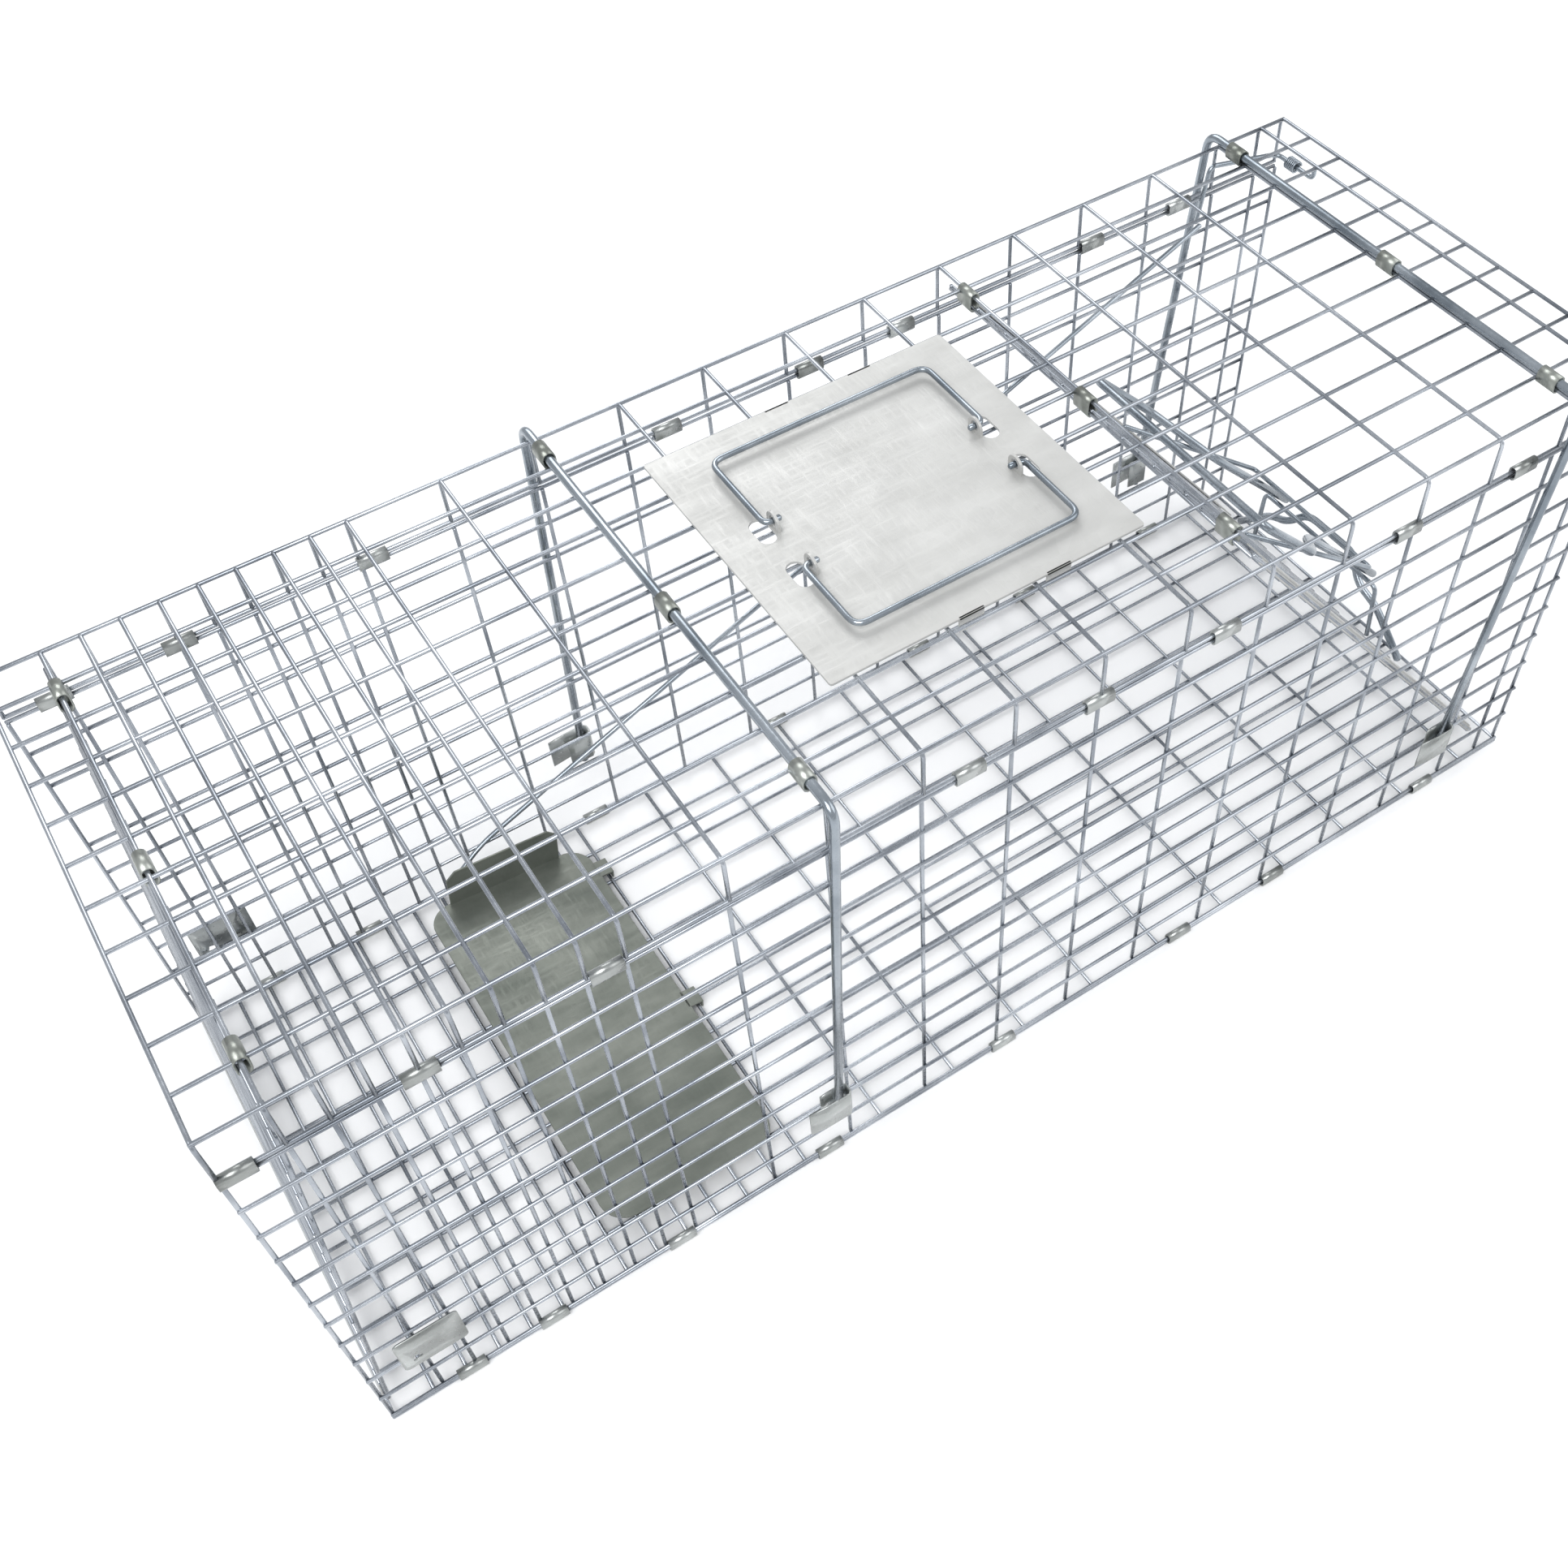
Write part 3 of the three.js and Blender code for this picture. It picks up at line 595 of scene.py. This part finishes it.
def front_door():
    mesh = bmesh.new()
    rows = 10
    for i in range(rows + 1):
        y = -DOOR_HALF + 2 * DOOR_HALF * i / rows
        add_tube(mesh, [(-WIRE, y, 0.0), (DOOR_LENGTH + WIRE, y, 0.0)], WIRE)
    count = 20
    for i in range(count + 1):
        x = DOOR_LENGTH * i / count
        add_tube(mesh, [(x, -DOOR_HALF, -CROSSING), (x, DOOR_HALF, -CROSSING)], WIRE)
    nodes = ["front_door_mesh"]
    piece("front_door_wires", mesh, "mesh_zinc", "front_door", nodes, door_matrix())

    for side, sign in (("near", -1), ("far", 1)):
        mesh = bmesh.new()
        outer, inner = sign * DOOR_HALF, sign * (DOOR_HALF - 0.013)
        outline = slab_points(0.008, DOOR_LENGTH, min(outer, inner), max(outer, inner), 0.004, 4)
        add_prism(mesh, outline, (0, 0, 1), 0.0014, 0.0024)
        lip = [(0.008, 0, 0.0014), (DOOR_LENGTH, 0, 0.0014)]
        lip += [(DOOR_LENGTH, 0, -0.0016), (0.008, 0, -0.0016)]
        lip = [(x, outer, z) for x, _, z in lip]
        add_prism(mesh, lip, (0, sign, 0), 0.0, 0.0008)
        node = f"front_door_strip_{side}"
        place = door_matrix()
        piece(f"door_edge_{side}", mesh, "sheet_zinc", "front_door", [node], place, 0.0002)

    door_bands("front_door_band", DOOR_HINGE.x)

    mesh = bmesh.new()
    half = [
        on_door(0.334, 0.0036, 0.078),
        on_door(0.312, 0.020, 0.051),
        on_door(0.303, 0.024, 0.033),
        on_door(0.296, 0.036, 0.022),
    ]
    add_tube(mesh, smooth_path(mirrored(half), 0.008, 5), ROD, 14)
    piece("lock_bracket_rod", mesh, "rod_zinc", "front_door", ["lock_bracket"])

    mesh = bmesh.new()
    half = [on_door(0.322, 0.0024, 0.055), on_door(0.289, 0.0286, 0.052)]
    add_tube(mesh, smooth_path(mirrored(half), 0.005, 5), THIN_ROD, 12)
    piece("lock_bar_rod", mesh, "rod_zinc", "front_door", ["lock_bar"])


def door_bands(prefix, x):
    for index in range(1, 4):
        node = f"{prefix}_{index}"
        low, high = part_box(node)
        mesh = bmesh.new()
        middle = (low + high) / 2
        reach = (high.z - low.z) / 2 - BAND_SHEET
        add_band(mesh, (x, middle.y, middle.z), (0, 1, 0), (0, 0, 1), 0.0024, reach, BAND_LENGTH)
        piece(f"{prefix}_wrap_{index}", mesh, "dull_zinc", "cage", [node])


def turn_about(x, z, angle):
    pivot = Vector((x, 0, z))
    return Matrix.Translation(pivot) @ Matrix.Rotation(angle, 4, "Y") @ Matrix.Translation(-pivot)


def lock():
    """Drawn raised, then folded down over the door to its rest position."""
    mesh = bmesh.new()
    half = [LOCK_FOOT, LOCK_WAIST, LOCK_ELBOW, LOCK_TOP]
    add_tube(mesh, smooth_path(mirrored(half), 0.009, 6), ROD, 14)
    fold = turn_about(LOCK_FOOT[0], LOCK_FOOT[2], -LOCK_FOLD)
    piece("lock_frame_rod", mesh, "rod_zinc", "lock_frame", ["lock_frame"], fold)

    mesh = bmesh.new()
    pivot = on_door(0.112, 0.0031, LINK_HALF)
    half = [pivot, (0.3598, LINK_HALF, 0.194)]
    add_tube(mesh, smooth_path(mirrored(half), 0.004, 5), THIN_ROD, 12)
    fold = turn_about(pivot[0], pivot[2], LOCK_FOLD * LINK_RATIO)
    piece("lock_link_rod", mesh, "rod_zinc", "lock_link", ["lock_link"], fold)


# ---- Rear door -------------------------------------------------------------------------------


def rear_door():
    place = Matrix.Translation(REAR_HINGE) @ Matrix.Rotation(math.pi / 2 + REAR_LEAN, 4, "Y")
    mesh = bmesh.new()
    rows = 11
    for i in range(rows):
        y = -REAR_HALF + 2 * REAR_HALF * i / (rows - 1)
        add_tube(mesh, [(-WIRE, y, 0.0), (REAR_LENGTH + WIRE, y, 0.0)], WIRE)
    count = 16
    for i in range(count + 1):
        x = REAR_LENGTH * i / count
        add_tube(mesh, [(x, -REAR_HALF, -CROSSING), (x, REAR_HALF, -CROSSING)], WIRE)
    piece("rear_door_wires", mesh, "mesh_zinc", "rear_door", ["rear_door_mesh"], place)

    mesh = bmesh.new()
    x0, x1 = REAR_LENGTH - 0.016, REAR_LENGTH + 0.001
    outline = slab_points(x0, x1, -REAR_HALF, REAR_HALF, 0.006, 5)
    add_prism(mesh, outline, (0, 0, 1), -0.0025, -0.0016)
    nodes = ["rear_door_foot_strip"]
    piece("rear_door_foot", mesh, "sheet_zinc", "rear_door", nodes, place, 0.0002)

    door_bands("rear_door_band", REAR_HINGE.x)

    for side, sign in (("near", -1), ("far", 1)):
        node = f"rear_door_tab_{side}"
        low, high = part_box(node)
        mesh = bmesh.new()
        tab_with_hole(mesh, low, high)
        piece(f"rear_door_stop_{side}", mesh, "clip_zinc", "cage", [node])


def tab_with_hole(mesh, low, high):
    """A flat stop tab with rounded corners and one round hole."""
    inset, radius = 0.008, 0.003
    centre = Vector((low.x + inset, 0, low.z + inset))
    outline = slab_points(low.x, high.x, low.z, high.z, 0.003, 4)
    count = len(outline)
    loops = []
    for y in (low.y, high.y):
        outer = [mesh.verts.new((x, y, z)) for x, z, _ in outline]
        ring = []
        for x, z, _ in outline:
            away = Vector((x - centre.x, 0, z - centre.z)).normalized()
            edge = centre + away * radius
            ring.append(mesh.verts.new((edge.x, y, edge.z)))
        loops.append((outer, ring))
    (out_a, in_a), (out_b, in_b) = loops
    for i in range(count):
        j = (i + 1) % count
        mesh.faces.new((out_a[i], out_a[j], in_a[j], in_a[i]))
        mesh.faces.new((out_b[j], out_b[i], in_b[i], in_b[j]))
        mesh.faces.new((out_a[j], out_a[i], out_b[i], out_b[j]))
        mesh.faces.new((in_a[i], in_a[j], in_b[j], in_b[i]))


# ---- Pan, rod and catch ----------------------------------------------------------------------


def trip_pan():
    place = Matrix.Translation(PAN_HINGE) @ Matrix.Rotation(PAN_TILT, 4, "Y")
    place = place @ Matrix.Translation(-PAN_HINGE)
    mesh = bmesh.new()
    outline = slab_points(-0.2515, -0.147, -0.120, 0.120, 0.015, 8)
    add_prism(mesh, outline, (0, 0, 1), 0.0062, 0.0074)
    flange = [(-0.2355, 0.120, 0.0062), (-0.163, 0.120, 0.0062)]
    flange += [(-0.163, 0.120, 0.030), (-0.169, 0.120, 0.036)]
    flange += [(-0.2295, 0.120, 0.036), (-0.2355, 0.120, 0.030)]
    add_prism(mesh, flange, (0, -1, 0), 0.0, 0.0012)
    for y in (-0.020, 0.092):
        tongue = [(-0.149, y, 0.0074), (-0.139, y, 0.0074), (-0.139, y, 0.0016)]
        tongue += [(-0.1401, y, 0.0016), (-0.1401, y, 0.0062), (-0.149, y, 0.0062)]
        add_prism(mesh, tongue, (0, 1, 0), 0.0, 0.012)
    piece("trip_pan_sheet", mesh, "pan_steel", "trip_pan", ["trip_pan"], place, 0.0003)


def trigger():
    mesh = bmesh.new()
    line = [(-0.229, 0.1226, 0.031), (-0.203, 0.130, 0.043), (0.325, 0.130, 0.268)]
    add_tube(mesh, smooth_path(line, 0.010, 6), THIN_ROD, 12)
    piece("trigger_rod_wire", mesh, "rod_zinc", "trigger_rod", ["trigger_rod"])

    mesh = bmesh.new()
    line = [
        (0.3855, 0.103, 0.299),
        (0.3855, 0.103, 0.291),
        (0.3855, 0.1346, 0.291),
        (0.331, 0.1346, 0.303),
        (0.325, 0.1346, 0.266),
    ]
    add_tube(mesh, smooth_path(line, 0.005, 6), THIN_ROD, 12)
    nodes = ["trigger_catch"]
    piece("trigger_catch_wire", mesh, "rod_zinc", "trigger_catch", nodes)

    mesh = bmesh.new()
    turns, steps = 6, 12
    coil = []
    for i in range(turns * steps + 1):
        angle = 2 * math.pi * i / steps
        y = 0.1170 + 0.0080 * i / (turns * steps)
        coil.append((0.3855 + 0.0035 * math.cos(angle), y, 0.291 + 0.0035 * math.sin(angle)))
    add_tube(mesh, coil, 0.0006, 8)
    piece("catch_coil", mesh, "rod_zinc", "trigger_catch", ["catch_spring"])


# ---- Stage -----------------------------------------------------------------------------------


def stage():
    floor_data = bpy.data.meshes.new("ground")
    mesh = bmesh.new()
    bmesh.ops.create_grid(mesh, x_segments=2, y_segments=2, size=12.0)
    mesh.to_mesh(floor_data)
    mesh.free()
    ground = bpy.data.objects.new("ground", floor_data)
    bpy.context.scene.collection.objects.link(ground)
    material, _, _, shader, _ = new_material("ground_pale", 0.0)
    shader.inputs["Base Color"].default_value = (0.93, 0.93, 0.93, 1)
    shader.inputs["Roughness"].default_value = 0.7
    floor_data.materials.append(material)

    world = bpy.data.worlds.new("studio")
    bpy.context.scene.world = world
    world.use_nodes = True
    background = world.node_tree.nodes["Background"]
    background.inputs["Color"].default_value = (0.95, 0.97, 1.0, 1)
    background.inputs["Strength"].default_value = 0.72
    bpy.context.scene.view_settings.view_transform = "Standard"

    area_light("key", (-1.2, -1.0, 2.2), 1.6, 42.0)
    area_light("fill", (1.8, -1.2, 1.6), 1.8, 18.0)
    area_light("rim", (0.4, 1.9, 1.8), 1.4, 20.0)


def area_light(name, place, size, power):
    light = bpy.data.lights.new(name, "AREA")
    light.size = size
    light.energy = power
    obj = bpy.data.objects.new(name, light)
    obj.location = place
    obj.rotation_mode = "QUATERNION"
    aim = Vector((0, 0, 0.12)) - Vector(place)
    obj.rotation_quaternion = aim.to_track_quat("-Z", "Y")
    bpy.context.scene.collection.objects.link(obj)


def camera():
    data = bpy.data.cameras.new("view")
    data.sensor_width = 36.0
    data.lens = LENS
    data.shift_x, data.shift_y = SHIFT
    data.clip_start = 0.01
    obj = bpy.data.objects.new("view", data)
    azimuth = math.radians(AZIMUTH)
    elevation = math.radians(ELEVATION)
    roll = math.radians(ROLL)
    back = Vector((
        math.sin(azimuth) * math.cos(elevation),
        -math.cos(azimuth) * math.cos(elevation),
        math.sin(elevation),
    ))
    turn = (-back).to_track_quat("-Z", "Y").to_matrix().to_4x4()
    obj.matrix_world = Matrix.Translation(CAMERA) @ turn @ Matrix.Rotation(roll, 4, "Z")
    bpy.context.scene.collection.objects.link(obj)
    bpy.context.scene.camera = obj


floor_panel()
side_panel("near", -1)
side_panel("far", 1)
roof_panel()
panel_clips()
hoops()
carry_plate()
front_door()
lock()
rear_door()
trip_pan()
trigger()
stage()
camera()
